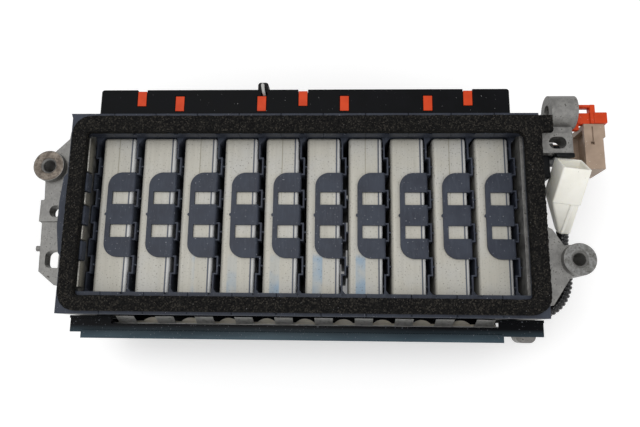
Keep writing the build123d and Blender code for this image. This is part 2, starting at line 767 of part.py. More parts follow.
def busbar_frame():
    """The insulating frame round the terminals, with the latches that hold the cover."""
    y0 = RIM_OUTER + END_CLEARANCE
    y1 = y0 + FRAME_SHEET
    half = COVER_HALF - COVER_SHEET - LATCH_GAP
    cover_top = TOP - COVER_DROP
    under = cover_top - COVER_SHEET - LATCH_GAP
    bottom = COVER_FOOT + COVER_SHEET + LATCH_GAP
    frame = block(-half, half, y0, y1, bottom, under)
    for index in range(CELL_COUNT):
        for z in terminal_z():
            opening = Pos(cell_x(index), y0, z) * Box(FRAME_WINDOW[0], 3 * FRAME_SHEET, FRAME_WINDOW[1])
            frame -= opening
    for x, y in latch_places():
        x0 = x - LATCH_SIZE[0] / 2
        x1 = x + LATCH_SIZE[0] / 2
        frame += block(x0, x1, y0, y + LATCH_SIZE[1], under - 2.0, under)
        frame += block(x0, x1, y, y + LATCH_SIZE[1], under - 1.0, cover_top)
    for z in (CELL_MIDDLE - 12, CELL_MIDDLE + 12):
        frame += block(-half, half, SKIRT_OUTER + 1.2, y0 + 1, z - 1, z + 1)
    return frame


def busbar_cover():
    """The black cover over the terminals, open towards the cells."""
    y0 = RIM_OUTER + END_CLEARANCE
    y1 = RIM_OUTER + COVER_DEPTH
    top = TOP - COVER_DROP
    cover = block(-COVER_HALF, COVER_HALF, y0 - 10, y1, COVER_FOOT, top)
    cover = fillet(cover.edges().filter_by(Axis.Z), COVER_RADIUS)
    inside = block(-COVER_HALF + COVER_SHEET, COVER_HALF - COVER_SHEET, y0 - 11, y1 - COVER_SHEET,
                   COVER_FOOT + COVER_SHEET, top - COVER_SHEET)
    cover -= inside
    cover -= block(-PLATE_OUTER, PLATE_OUTER, y0 - 11, y0, -1, TOP + 1)
    for x, y in latch_places():
        x0 = x - LATCH_SIZE[0] / 2 - LATCH_GAP
        x1 = x + LATCH_SIZE[0] / 2 + LATCH_GAP
        far = y1 + 1 if x in LATCH_FAR else y + LATCH_SIZE[1] + LATCH_GAP
        cover -= block(x0, x1, y - LATCH_GAP, far, top - 3 * COVER_SHEET, TOP)
    wire_x, wire_y = WIRE_PLACE
    slot = Pos(wire_x, wire_y, top) * Box(WIRE_SLOT[0], WIRE_SLOT[1], 3 * COVER_SHEET)
    return cover - fillet(slot.edges().filter_by(Axis.Z), WIRE_DIAMETER / 2)


def boot_top():
    """The middle of the top of the boot behind the cover."""
    return (WIRE_PLACE[0] - BOOT_OFFSET, RIM_OUTER + COVER_DEPTH + BOOT_SIZE[1] / 2, TOP - COVER_SHEET)


def sense_boot():
    """The black boot on the rear wall of the cover that the sense wire goes down into."""
    x, y, z = boot_top()
    width, depth, height = BOOT_SIZE
    boot = block(x - width / 2, x + width / 2, y - depth / 2, y + depth / 2, z - height, z)
    return fillet(boot.edges().filter_by(Axis.Z).sort_by(Axis.Y)[-2:], depth / 3)


def sense_wire():
    """The grey wire from the boot over the rear edge of the cover and in through its slot."""
    x, y, z = boot_top()
    crest = TOP + WIRE_RISE
    path = FilletPolyline(
        (x, y, z),
        (x, y, crest),
        (*WIRE_PLACE, crest),
        (*WIRE_PLACE, TOP - COVER_DROP - 2 * COVER_SHEET),
        radius=WIRE_BEND,
    )
    return sweep(Plane(path @ 0, z_dir=path % 0) * Circle(WIRE_DIAMETER / 2), path=path)


def lv_place():
    """The plane of the low-voltage connector: origin at the mouth's upper edge, Z along its axis."""
    x, y, rise = LV_MOUTH
    pitch = radians(LV_PITCH)
    return Plane((x, y, TOP + rise), x_dir=(1, 0, 0), z_dir=(0, -cos(pitch), -sin(pitch)))


def lv_connector():
    """The white connector housing, hollow at its mouth and tapered towards the tube."""
    width, length, height = LV_SIZE
    plane = lv_place()
    middle = Pos(0, -height / 2)
    body = extrude(plane * middle * RectangleRounded(width, height, 1.2), length)
    rear_width, rear_length, rear_height = LV_REAR
    start = plane.offset(length) * middle * RectangleRounded(rear_width, rear_height, 2.0)
    end = plane.offset(length + rear_length) * middle * RectangleRounded(*LV_TAIL, 2.0)
    body += loft(Sketch() + [start, end])
    cavity = Rectangle(width - 2 * LV_WALL, height - 2 * LV_WALL)
    body -= extrude(plane * middle * cavity, LV_CAVITY)
    return body


def lv_tail():
    """Where the tube leaves the white connector."""
    plane = lv_place()
    return plane.from_local_coords(Vector(0, -LV_SIZE[2] / 2, LV_SIZE[1] + LV_REAR[1]))


def connector_clip():
    """The black clip between the right casting and the underside of the white connector."""
    width, length, height = LV_SIZE
    plane = lv_place()
    left = PLATE_OUTER + PLATE_LIP - LV_MOUTH[0]
    right = width / 2
    under = -height - CLIP_SHEET
    saddle = Pos((left + right) / 2, under + CLIP_SHEET / 2) * Rectangle(right - left, CLIP_SHEET)
    clip = extrude(plane.offset(-CLIP_SHEET - 0.1) * saddle, length - 4.0)
    stop_right = CLIP_STOP_RIGHT
    stop = Pos((left + stop_right) / 2, under + CLIP_STOP / 2) * Rectangle(stop_right - left, CLIP_STOP)
    clip += extrude(plane.offset(-CLIP_SHEET - 0.1) * stop, CLIP_SHEET)
    return clip


def hv_connector():
    """The tan high-voltage housing beside the lug, and its foot on the right casting."""
    width, length, height = HV_SIZE
    x, y = HV_CORNER
    top = TOP - HV_DROP
    body = block(x, x + width, y, y + length, top - height, top)
    body += block(x + width - 1, x + width + HV_STEP[0], y + length - HV_STEP[1], y + length,
                  top - height, top)
    pocket_depth, pocket_length, pocket_height = HV_POCKET
    body -= block(x - 1, x + pocket_depth, y + 4, y + 4 + pocket_length, top - 3 - pocket_height, top - 3)
    body -= block(x + 5.6, x + 6.6, y + length - 13, y + length - 2, top - 1, top + 1)
    body -= block(x + 4.4, x + 7.0, y + length - 15.6, y + length - 13.4, top - 3, top + 1)
    foot_y = y + 9
    body += block(PLATE_OUTER, x + 2, foot_y, foot_y + HV_FOOT_WIDTH, top - height,
                  top - height + HV_FOOT_HEIGHT)
    return body


def hv_lock():
    """The orange slide that locks the high-voltage housing, stepped and with a finger window."""
    width, length, _ = HV_SIZE
    x, y = HV_CORNER
    face = y + length
    top = TOP - HV_DROP
    lock = block(x - 5.5, x + width + 3.5, face, face + 4.5, top - 8, top - 1)
    lock += block(x - 5.0, x + 9.0, face + 4, face + 16.5, top - 6, top + 1)
    lock += block(x + 7.0, x + width + 3.5, face, face + 8.5, top - 7, top + 2)
    window = LOCK_WINDOW
    lock -= block(x - 4.0, x - 4.0 + window[0], face + 10, face + 10 + window[1], top - 7, top + 2)
    return lock


def tube_route():
    """The corners of the harness tube, from the white connector to its socket."""
    socket_top = TOP - 82.0
    tail = lv_tail()
    turn = tail + lv_place().z_dir * 19.0
    return [
        (tail.X, tail.Y, tail.Z),
        (turn.X, turn.Y, turn.Z),
        (185.5, -45.0, TOP - 43.0),
        (177.5, -58.5, TOP - 49.0),
        (173.2, -62.0, TOP - 64.0),
        (173.2, -62.0, socket_top),
    ]


def bend_radii(points):
    """The largest even bends that a route's runs leave room for."""
    radii = []
    for before, corner, after in zip(points, points[1:], points[2:]):
        first = Vector(*corner) - Vector(*before)
        second = Vector(*after) - Vector(*corner)
        half_turn = radians(first.get_angle(second)) / 2
        radii.append(0.45 * min(first.length, second.length) * cos(half_turn) / sin(half_turn))
    return radii


def harness_tube():
    """The corrugated tube's outer shape along its whole route."""
    points = tube_route()
    path = FilletPolyline(*points, radius=bend_radii(points))
    start = Plane(path @ 0, z_dir=path % 0)
    return sweep(start * Circle(TUBE_DIAMETER / 2), path=path)


def harness_socket():
    """The socket on the right casting that takes the lower end of the tube."""
    x, y, top = tube_route()[-1]
    width, depth, height = SOCKET_SIZE
    body = block(PLATE_OUTER, x + width / 2, y - depth / 2, y + depth / 2, top - height, top)
    return fillet(body.edges().filter_by(Axis.Z).sort_by(Axis.X)[-2:], 2.0)


def main():
    """Build every sub-part and write it to its own file."""
    os.makedirs("parts", exist_ok=True)
    shapes = {}
    for index in range(CELL_COUNT):
        shapes[f"cell_{index + 1:02d}"] = cell(index)
    for index in range(CELL_COUNT - 1):
        shapes[f"spacer_{index + 1:02d}"] = spacer(index)
    shapes["end_spacer_left"] = end_spacer(-1)
    shapes["end_spacer_right"] = end_spacer(1)
    shapes["end_plate_left"] = end_plate_left()
    shapes["end_plate_right"] = end_plate_right()
    shapes["foam_seal"] = foam_seal()
    shapes["front_tie_bar"] = front_tie_bar()
    shapes["tie_bar_bolts"] = front_bolts()
    shapes["rear_tie_rods"] = rear_tie_rods()
    shapes["tie_rod_nuts"] = rod_nuts()
    shapes["pressure_strip"] = pressure_strip()
    shapes["tie_bar_insulator"] = bar_insulator()
    shapes["busbars"] = busbars()
    shapes["terminal_nuts"] = terminal_nuts()
    shapes["busbar_frame"] = busbar_frame()
    shapes["busbar_cover"] = busbar_cover()
    shapes["sense_boot"] = sense_boot()
    shapes["sense_wire"] = sense_wire()
    shapes["signal_connector"] = lv_connector()
    shapes["connector_clip"] = connector_clip()
    shapes["power_connector"] = hv_connector()
    shapes["power_connector_lock"] = hv_lock()
    shapes["harness_tube"] = harness_tube()
    shapes["harness_socket"] = harness_socket()
    print("tube bend radii", [round(radius, 1) for radius in bend_radii(tube_route())])
    for name, shape in shapes.items():
        export_step(shape, f"parts/{name}.step")


if __name__ == "__main__":
    main()
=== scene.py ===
import json
import math

import bmesh
import bpy
from bpy.props import FloatProperty, FloatVectorProperty, PointerProperty
from bpy.types import Operator, Panel, PropertyGroup
from mathutils import Euler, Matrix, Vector, noise


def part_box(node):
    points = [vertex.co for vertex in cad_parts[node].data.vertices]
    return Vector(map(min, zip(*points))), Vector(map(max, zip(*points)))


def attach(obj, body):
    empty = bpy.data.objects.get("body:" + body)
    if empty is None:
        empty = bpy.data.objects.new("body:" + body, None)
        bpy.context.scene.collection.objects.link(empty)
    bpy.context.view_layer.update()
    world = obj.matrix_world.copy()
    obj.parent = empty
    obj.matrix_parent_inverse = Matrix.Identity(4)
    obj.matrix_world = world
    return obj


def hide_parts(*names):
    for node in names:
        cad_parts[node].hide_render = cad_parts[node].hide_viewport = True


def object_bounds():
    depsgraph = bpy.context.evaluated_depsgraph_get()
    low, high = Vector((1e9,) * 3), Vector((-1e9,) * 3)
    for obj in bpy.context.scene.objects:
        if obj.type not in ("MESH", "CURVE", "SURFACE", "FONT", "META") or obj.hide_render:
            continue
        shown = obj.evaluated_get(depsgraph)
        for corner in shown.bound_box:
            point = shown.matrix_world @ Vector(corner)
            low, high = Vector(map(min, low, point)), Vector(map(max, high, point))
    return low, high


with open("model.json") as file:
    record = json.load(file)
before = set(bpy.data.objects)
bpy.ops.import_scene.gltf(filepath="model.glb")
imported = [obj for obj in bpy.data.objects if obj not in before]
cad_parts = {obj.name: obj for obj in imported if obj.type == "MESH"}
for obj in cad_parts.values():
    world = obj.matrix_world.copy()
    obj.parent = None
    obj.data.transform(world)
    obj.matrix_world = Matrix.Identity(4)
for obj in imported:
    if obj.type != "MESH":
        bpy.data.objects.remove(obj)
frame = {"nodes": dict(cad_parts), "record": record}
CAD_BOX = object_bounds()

bl_info = {
    "name": "Air-cooled battery module",
    "version": (1, 0, 0),
    "blender": (4, 5, 0),
    "location": "3D View > Sidebar > Battery module",
    "description": "Dresses the packed battery module: finishes, foam seal, harness tube and stage",
    "category": "Object",
}

MM = 0.001
CELLS = sorted(name for name in frame["nodes"] if name.startswith("cell_"))
SPACERS = sorted(name for name in frame["nodes"] if "spacer_" in name)
PITCH = (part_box(CELLS[1])[0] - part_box(CELLS[0])[0]).x
RIM_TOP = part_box("spacer_01")[1].z
MOUNTS = {mount["name"]: Vector(mount["pos_m"]) for mount in frame["record"]["mounts"]}

# Sizes in mm. Two corners make a block, and Z is counted from the rim's top.
BOSS_HEIGHT = 28
FOAM_RING_WIDTH = 13
SLOT_WEB = (((174.2, 46.2, -27.8), (182.2, 56.2, -21.8)),)
PAD_ROWS = ((14.0, 27.6), (-9.8, 3.8), (-34.5, -21.0))
LAND_ROWS = ((28.0, 53.5), (4.2, 13.6), (-20.6, -10.2), (-53.5, -34.9))
HOOD_BLOCKS = (
    ((177.5, 41.5, -34.0), (190.5, 43.4, -4.2)),
    ((177.5, 39.8, -6.4), (190.5, 43.4, -4.0)),
    ((167.0, 27.0, -24.0), (175.2, 43.4, -11.0)),
    ((167.0, 41.2, -24.0), (180.0, 43.4, -14.0)),
    ((178.0, 41.2, -34.0), (190.0, 56.5, -28.0)),
)
SLIDE_BLOCKS = (
    ((199.3, 70.1, -26.0), (221.0, 78.6, -20.4)),
    ((199.3, 70.1, -25.0), (201.2, 84.5, -19.2)),
    ((199.3, 82.5, -25.0), (212.8, 84.6, -19.2)),
    ((208.9, 70.1, -25.0), (212.8, 84.6, -18.8)),
    ((211.4, 70.1, -26.0), (220.9, 78.4, -18.2)),
    ((196.6, 65.6, -25.0), (201.0, 72.0, -20.6)),
)
TUBE_ROUTE = (
    (187.2, -7.69, -29.25),
    (189.0, -23.0, -40.4),
    (194.6, -42.0, -45.5),
    (190.5, -57.5, -50.0),
    (181.0, -66.0, -60.0),
    (173.2, -62.0, -72.0),
    (173.2, -62.0, -82.0),
)


def linear(hex_colour):
    """An sRGB hex colour as linear red, green and blue."""
    channels = [int(hex_colour[i:i + 2], 16) / 255 for i in (1, 3, 5)]
    return tuple(c / 12.92 if c <= 0.04045 else ((c + 0.055) / 1.055) ** 2.4 for c in channels)


def add_node(tree, kind, settings=None, values=None, links=None):
    """Adds one shader node with its settings, its socket values and its incoming links."""
    made = tree.nodes.new(kind)
    for name, value in (settings or {}).items():
        setattr(made, name, value)
    for name, value in (values or {}).items():
        made.inputs[name].default_value = value
    for name, source in (links or {}).items():
        tree.links.new(source, made.inputs[name])
    return made


def new_finish(name, metallic, roughness, ior=1.5):
    """An empty material: its node tree, its shader and the coordinates that patterns use."""
    material = bpy.data.materials.new(name)
    material.use_nodes = True
    tree = material.node_tree
    shader = tree.nodes["Principled BSDF"]
    shader.inputs["Metallic"].default_value = metallic
    shader.inputs["Roughness"].default_value = roughness
    shader.inputs["IOR"].default_value = ior
    place = add_node(tree, "ShaderNodeTexCoord").outputs["Object"]
    return material, tree, shader, place


def grain(tree, place, size_mm, detail=2.0, stretch=(1, 1, 1)):
    """Noise whose blobs are about size_mm across, stretched by that much along each axis."""
    scaled = add_node(tree, "ShaderNodeMapping", values={"Scale": tuple(1 / s for s in stretch)},
                      links={"Vector": place})
    pattern = add_node(tree, "ShaderNodeTexNoise", values={"Scale": 1 / (size_mm * MM), "Detail": detail},
                       links={"Vector": scaled.outputs["Vector"]})
    return pattern.outputs["Fac"]


def between(tree, value, low, high, start=0.0, end=1.0):
    """The value carried from low..high to start..end, and held there outside it."""
    ranged = add_node(tree, "ShaderNodeMapRange",
                      values={"From Min": low, "From Max": high, "To Min": start, "To Max": end},
                      links={"Value": value})
    return ranged.outputs["Result"]


def blended(tree, factor, first, second):
    """A colour that goes from first to second with the factor. Each is a colour or a socket."""
    mix = add_node(tree, "ShaderNodeMix", {"data_type": "RGBA"}, links={0: factor})
    for index, colour in ((6, first), (7, second)):
        if isinstance(colour, bpy.types.NodeSocket):
            tree.links.new(colour, mix.inputs[index])
        else:
            mix.inputs[index].default_value = (*colour, 1.0)
    return mix.outputs[2]


def product(tree, first, second):
    """Two values multiplied."""
    multiplied = add_node(tree, "ShaderNodeMath", {"operation": "MULTIPLY"}, links={0: first, 1: second})
    return multiplied.outputs[0]


def relief(tree, shader, height, depth_mm, edge_mm=0.0):
    """Bump of that depth, over edges that are rounded off by edge_mm."""
    bump = add_node(tree, "ShaderNodeBump", values={"Strength": 1.0, "Distance": depth_mm * MM},
                    links={"Height": height})
    if edge_mm:
        rounded = add_node(tree, "ShaderNodeBevel", {"samples": 4}, values={"Radius": edge_mm * MM})
        tree.links.new(rounded.outputs["Normal"], bump.inputs["Normal"])
    tree.links.new(bump.outputs["Normal"], shader.inputs["Normal"])


def axes(tree, place):
    """The X, Y and Z of a place, one socket each."""
    return add_node(tree, "ShaderNodeSeparateXYZ", links={"Vector": place}).outputs


def band(tree, value, middle, half, soft):
    """1 within half of the middle, falling to 0 over soft."""
    away = add_node(tree, "ShaderNodeMath", {"operation": "SUBTRACT"}, values={1: middle}, links={0: value})
    size = add_node(tree, "ShaderNodeMath", {"operation": "ABSOLUTE"}, links={0: away.outputs[0]})
    return between(tree, size.outputs[0], half, half + soft, 1.0, 0.0)


def drawn_aluminium(colours):
    """Deep-drawn aluminium: a satin can with long drawing streaks, fine pits and handling marks."""
    material, tree, shader, place = new_finish("deep drawn aluminium can", 0.25, 0.5)
    x, y, _ = axes(tree, place)
    streaks = grain(tree, place, 1.6, 3.0, (1, 28, 1))
    colour = blended(tree, between(tree, streaks, 0.30, 0.75), colours.can, linear("#b0ada3"))
    clouds = grain(tree, place, 22.0, 3.0)
    colour = blended(tree, between(tree, clouds, 0.42, 0.7, 0.0, 0.55), colour, linear("#b5b5b3"))
    shifted = add_node(tree, "ShaderNodeMath", {"operation": "ADD"}, values={1: 10 * PITCH}, links={0: x})
    across = add_node(tree, "ShaderNodeMath", {"operation": "MODULO"}, values={1: PITCH},
                      links={0: shifted.outputs[0]}).outputs[0]
    # left-over protective film: a blue cast on the front part of the middle cells
    film = product(tree, between(tree, y, -27 * MM, -31 * MM), band(tree, x, -8 * MM, 66 * MM, 4 * MM))
    strip = product(tree, film, band(tree, across, PITCH / 2 - 3.5 * MM, 3.0 * MM, 0.8 * MM))
    colour = blended(tree, product(tree, strip, between(tree, clouds, 0.36, 0.58, 0.15, 0.85)), colour,
                     linear("#8299ad"))
    pits = between(tree, grain(tree, place, 1.0, 0.5), 0.68, 0.72)
    colour = blended(tree, product(tree, pits, between(tree, clouds, 0.3, 0.6, 0.4, 0.8)), colour,
                     linear("#5f5d54"))
    scratches = between(tree, grain(tree, place, 0.9, 2.0, (9, 1, 1)), 0.74, 0.78)
    colour = blended(tree, product(tree, scratches, between(tree, clouds, 0.5, 0.7)), colour,
                     linear("#e6e4de"))
    # painted reflections: the drawn corner on the right is painted pale as a reflection of the white
    # surround, with a dark line painted where the flat ends as a reflection of the dark spacer
    colour = blended(tree, between(tree, across, PITCH / 2 + 9.9 * MM, PITCH / 2 + 10.4 * MM, 0.0, 0.8),
                     colour, linear("#d9dadb"))
    colour = blended(tree, band(tree, across, PITCH / 2 + 9.3 * MM, 0.35 * MM, 0.35 * MM), colour,
                     linear("#4d525e"))
    # a thin line down the rear half of every other can
    pair = add_node(tree, "ShaderNodeMath", {"operation": "MODULO"}, values={1: 2 * PITCH},
                    links={0: shifted.outputs[0]})
    line = band(tree, pair.outputs[0], 1.5 * PITCH, 0.22 * MM, 0.2 * MM)
    colour = blended(tree, product(tree, line, between(tree, y, 4 * MM, 20 * MM, 0.0, 0.8)), colour,
                     linear("#8b8778"))
    tree.links.new(colour, shader.inputs["Base Color"])
    tree.links.new(between(tree, streaks, 0.3, 0.7, 0.52, 0.60), shader.inputs["Roughness"])
    relief(tree, shader, streaks, 0.005)
    return material


def moulded_spacer(colours):
    """Glass-filled polypropylene, moulded: dark slate with a dry, slightly cloudy skin."""
    material, tree, shader, place = new_finish("moulded glass filled polypropylene", 0.0, 0.48, 1.49)
    shader.inputs["Specular IOR Level"].default_value = 0.2
    cloud = grain(tree, place, 14.0, 4.0)
    colour = blended(tree, between(tree, cloud, 0.35, 0.65), colours.spacer, linear("#3b404b"))
    flow = grain(tree, place, 1.3, 2.0, (1, 6, 1))
    colour = blended(tree, between(tree, flow, 0.5, 0.75, 0.0, 0.4), colour, linear("#474d58"))
    dust = between(tree, grain(tree, place, 0.9, 0.0), 0.80, 0.83)
    colour = blended(tree, dust, colour, linear("#9a9da3"))
    tree.links.new(colour, shader.inputs["Base Color"])
    tree.links.new(between(tree, cloud, 0.3, 0.7, 0.40, 0.56), shader.inputs["Roughness"])
    relief(tree, shader, grain(tree, place, 0.7, 2.0), 0.05, 0.35)
    return material


def cast_plate(colours):
    """Die-cast aluminium: a mottled grey skin, with stained and worn faces on the two bosses."""
    material, tree, shader, place = new_finish("die cast aluminium", 0.8, 0.55)
    mottle = grain(tree, place, 5.0, 6.0)
    colour = blended(tree, between(tree, mottle, 0.36, 0.64), colours.casting, linear("#989794"))
    pits = between(tree, grain(tree, place, 1.1, 2.0), 0.60, 0.68)
    colour = blended(tree, product(tree, pits, between(tree, mottle, 0.4, 0.6)), colour, linear("#4d4b48"))
    flat = add_node(tree, "ShaderNodeVectorMath", {"operation": "MULTIPLY"}, values={1: (1, 1, 0)},
                    links={0: place}).outputs["Vector"]
    height = axes(tree, place)[2]
    face = MOUNTS["left_boss"].z + BOSS_HEIGHT * MM
    stains = {"left_boss": ("#877e74", "#625a52"), "right_boss": ("#8f8f8e", "#72726f")}
    for name, (pale, dark) in stains.items():
        centre = Vector((MOUNTS[name].x, MOUNTS[name].y, 0))
        away = add_node(tree, "ShaderNodeVectorMath", {"operation": "DISTANCE"}, values={1: centre},
                        links={0: flat}).outputs["Value"]
        turned = product(tree, between(tree, away, 10.4 * MM, 10.9 * MM, 1.0, 0.0),
                         band(tree, height, face, 0.3 * MM, 0.2 * MM))
        worked = grain(tree, place, 2.4, 6.0)
        face_colour = blended(tree, between(tree, worked, 0.38, 0.60), linear(pale), linear(dark))
        worn = between(tree, grain(tree, place, 1.3, 3.0), 0.55, 0.68, 0.0, 0.8)
        face_colour = blended(tree, worn, face_colour, linear("#4a443f"))
        colour = blended(tree, turned, colour, face_colour)
    tree.links.new(colour, shader.inputs["Base Color"])
    tree.links.new(between(tree, mottle, 0.3, 0.7, 0.45, 0.68), shader.inputs["Roughness"])
    relief(tree, shader, grain(tree, place, 1.4, 4.0), 0.22, 0.5)
    return material


def cell_foam(colours):
    """Open-cell EPDM foam: black crumbs with a few that catch the light."""
    material, tree, shader, place = new_finish("open cell EPDM foam", 0.0, 0.85)
    crumbs = add_node(tree, "ShaderNodeTexVoronoi", values={"Scale": 1 / (0.8 * MM)},
                      links={"Vector": place})
    shade = axes(tree, crumbs.outputs["Color"])
    colour = blended(tree, between(tree, shade[0], 0.3, 1.0), colours.foam, linear("#1c1b19"))
    colour = blended(tree, between(tree, shade[1], 0.72, 0.98), colour, linear("#37342f"))
    glints = between(tree, grain(tree, place, 0.7, 0.0), 0.86, 0.88)
    colour = blended(tree, glints, colour, linear("#8e8e90"))
    tree.links.new(colour, shader.inputs["Base Color"])
    shader.inputs["Specular IOR Level"].default_value = 0.15
    relief(tree, shader, crumbs.outputs["Distance"], 0.5)
    return material


def painted_steel(colours):
    """Cathodic-painted sheet steel: near black, with a painted reflection in slate along the outer flange.
    """
    material, tree, shader, place = new_finish("dip painted sheet steel", 0.0, 0.3, 1.5)
    shader.inputs["Specular IOR Level"].default_value = 0.05
    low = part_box("front_tie_bar")[0]
    y = axes(tree, place)[1]
    # painted reflection: the outer flange is coloured a clouded slate, standing in for the gloss paint's
    # reflection of the surround
    flange_reflection = between(tree, y, low.y + 9.5 * MM, low.y)
    cloud = grain(tree, place, 9.0, 4.0, (6, 1, 1))
    slate = blended(tree, between(tree, cloud, 0.3, 0.7), linear("#3c4c56"), linear("#53656e"))
    colour = blended(tree, flange_reflection, colours.painted_steel, slate)
    dust = between(tree, grain(tree, place, 1.0, 0.0), 0.78, 0.81)
    colour = blended(tree, dust, colour, linear("#6c6f75"))
    tree.links.new(colour, shader.inputs["Base Color"])
    relief(tree, shader, grain(tree, place, 1.2, 2.0), 0.04, 0.5)
    return material


def plated_steel(name, first, second, roughness, metallic=1.0):
    """Plated or bright steel: a metal with fine rolling lines and dull patches."""
    material, tree, shader, place = new_finish(name, metallic, roughness)
    lines = grain(tree, place, 0.6, 3.0, (14, 1, 1))
    patches = grain(tree, place, 3.0, 3.0)
    colour = blended(tree, between(tree, lines, 0.35, 0.65), linear(first), linear(second))
    colour = blended(tree, between(tree, patches, 0.5, 0.75, 0.0, 0.5), colour, linear("#8c8a84"))
    tree.links.new(colour, shader.inputs["Base Color"])
    tree.links.new(between(tree, patches, 0.3, 0.7, roughness - 0.08, roughness + 0.12),
                   shader.inputs["Roughness"])
    relief(tree, shader, lines, 0.02, 0.2)
    return material


def moulded_plastic(name, colour, other, roughness, dust="#d8d8d6", dusty=0.82, gloss=0.5, soft=0.0):
    """A moulded plastic: an even colour with slight clouding, a fine eroded texture and some dust."""
    material, tree, shader, place = new_finish(name, 0.0, roughness)
    shader.inputs["Specular IOR Level"].default_value = gloss
    cloud = grain(tree, place, 10.0, 4.0)
    shade = blended(tree, between(tree, cloud, 0.35, 0.65), colour, linear(other))
    specks = between(tree, grain(tree, place, 1.0, 0.5), dusty, dusty + 0.03)
    shade = blended(tree, specks, shade, linear(dust))
    tree.links.new(shade, shader.inputs["Base Color"])
    tree.links.new(between(tree, cloud, 0.3, 0.7, roughness - 0.07, roughness + 0.07),
                   shader.inputs["Roughness"])
    if soft:
        shader.inputs["Subsurface Weight"].default_value = soft
        shader.inputs["Subsurface Radius"].default_value = (1.5 * MM, 1.4 * MM, 1.1 * MM)
        shader.inputs["Subsurface Scale"].default_value = 1.0
    relief(tree, shader, grain(tree, place, 0.6, 2.0), 0.03, 0.35)
    return material


def finish_nodes(names, material):
    """Gives CAD nodes their finish."""
    for name in names:
        node = frame["nodes"][name]
        if node.data.materials:
            node.data.materials[0] = material
        else:
            node.data.materials.append(material)


def new_piece(name, mesh, material):
    """A piece of the module's own, made of a mesh, that rides on the root body."""
    piece = bpy.data.objects.new(name, mesh)
    bpy.context.scene.collection.objects.link(piece)
    mesh.materials.clear()
    mesh.materials.append(material)
    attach(piece, "root")
    return piece


def rounded_block(shape, low, high, radius, segments=3):
    """Adds a block with rounded edges to a shape. Its corners are in mm, with Z from the rim's top."""
    low = Vector(low)
    high = Vector(high)
    middle = (low + high) / 2 * MM + Vector((0, 0, RIM_TOP))
    block = bmesh.new()
    bmesh.ops.create_cube(block, size=1.0)
    bmesh.ops.scale(block, vec=(high - low) * MM, verts=block.verts)
    bmesh.ops.translate(block, vec=middle, verts=block.verts)
    bmesh.ops.bevel(block, geom=block.edges[:], offset=radius * MM, segments=segments, profile=0.5,
                    affect="EDGES", clamp_overlap=True)
    part = bpy.data.meshes.new("block")
    block.to_mesh(part)
    block.free()
    shape.from_mesh(part)
    bpy.data.meshes.remove(part)


def as_mesh(name, shape, smooth=True, sharp=None):
    """Turns a shape into a mesh. Edges sharper than that many degrees stay sharp."""
    mesh = bpy.data.meshes.new(name)
    shape.to_mesh(mesh)
    shape.free()
    for face in mesh.polygons:
        face.use_smooth = smooth
    if sharp:
        mesh.set_sharp_from_angle(angle=math.radians(sharp))
    return mesh


def blocks_piece(name, blocks, material, radius=0.8):
    """A piece made of blocks with rounded edges, one solid each."""
    shape = bmesh.new()
    for low, high in blocks:
        rounded_block(shape, low, high, radius)
    return new_piece(name, as_mesh(name, shape, sharp=40), material)


def rounded_section(centre, side, up, width, height, radius, steps=4):
    """The points of a rounded rectangle about a centre."""
    points = []
    for quarter, (right, top) in enumerate(((1, 1), (-1, 1), (-1, -1), (1, -1))):
        for step in range(steps + 1):
            turn = math.radians(90 * (quarter + step / steps))
            across = right * (width / 2 - radius) + radius * math.cos(turn)
            along = top * (height / 2 - radius) + radius * math.sin(turn)
            points.append(centre + side * across + up * along)
    return points


def lofted_mesh(name, sections):
    """A closed mesh through a row of sections with equal numbers of points."""
    shape = bmesh.new()
    rings = [[shape.verts.new(point) for point in section] for section in sections]
    count = len(rings[0])
    for ring, following in zip(rings, rings[1:]):
        for index in range(count):
            after = (index + 1) % count
            shape.faces.new((ring[index], ring[after], following[after], following[index]))
    shape.faces.new(rings[0][::-1])
    shape.faces.new(rings[-1])
    bmesh.ops.recalc_face_normals(shape, faces=shape.faces)
    return as_mesh(name, shape, sharp=35)


class ModuleSizes(PropertyGroup):
    """Sizes of the pieces that are made here."""

    crumb: FloatProperty(
        name="Foam crumb", description="Mean size of a crumb of the foam seal",
        default=0.0009, min=0.0006, max=0.003, unit="LENGTH", precision=4)
    crumb_depth: FloatProperty(
        name="Crumb depth", description="How deep the pits between the crumbs of the foam go",
        default=0.0007, min=0.0, max=0.002, unit="LENGTH", precision=4)
    sag: FloatProperty(
        name="Foam waviness", description="How far the top of the foam dips between high places",
        default=0.0006, min=0.0, max=0.002, unit="LENGTH", precision=4)
    tube_diameter: FloatProperty(
        name="Tube diameter", description="Outside diameter of the corrugated harness tube",
        default=0.009, min=0.004, max=0.02, unit="LENGTH", precision=4)
    tube_pitch: FloatProperty(
        name="Ring pitch", description="Distance from one ring of the harness tube to the next",
        default=0.003, min=0.001, max=0.01, unit="LENGTH", precision=4)
    tube_depth: FloatProperty(
        name="Ring depth", description="How deep the grooves between the rings are",
        default=0.0015, min=0.0, max=0.003, unit="LENGTH", precision=4)


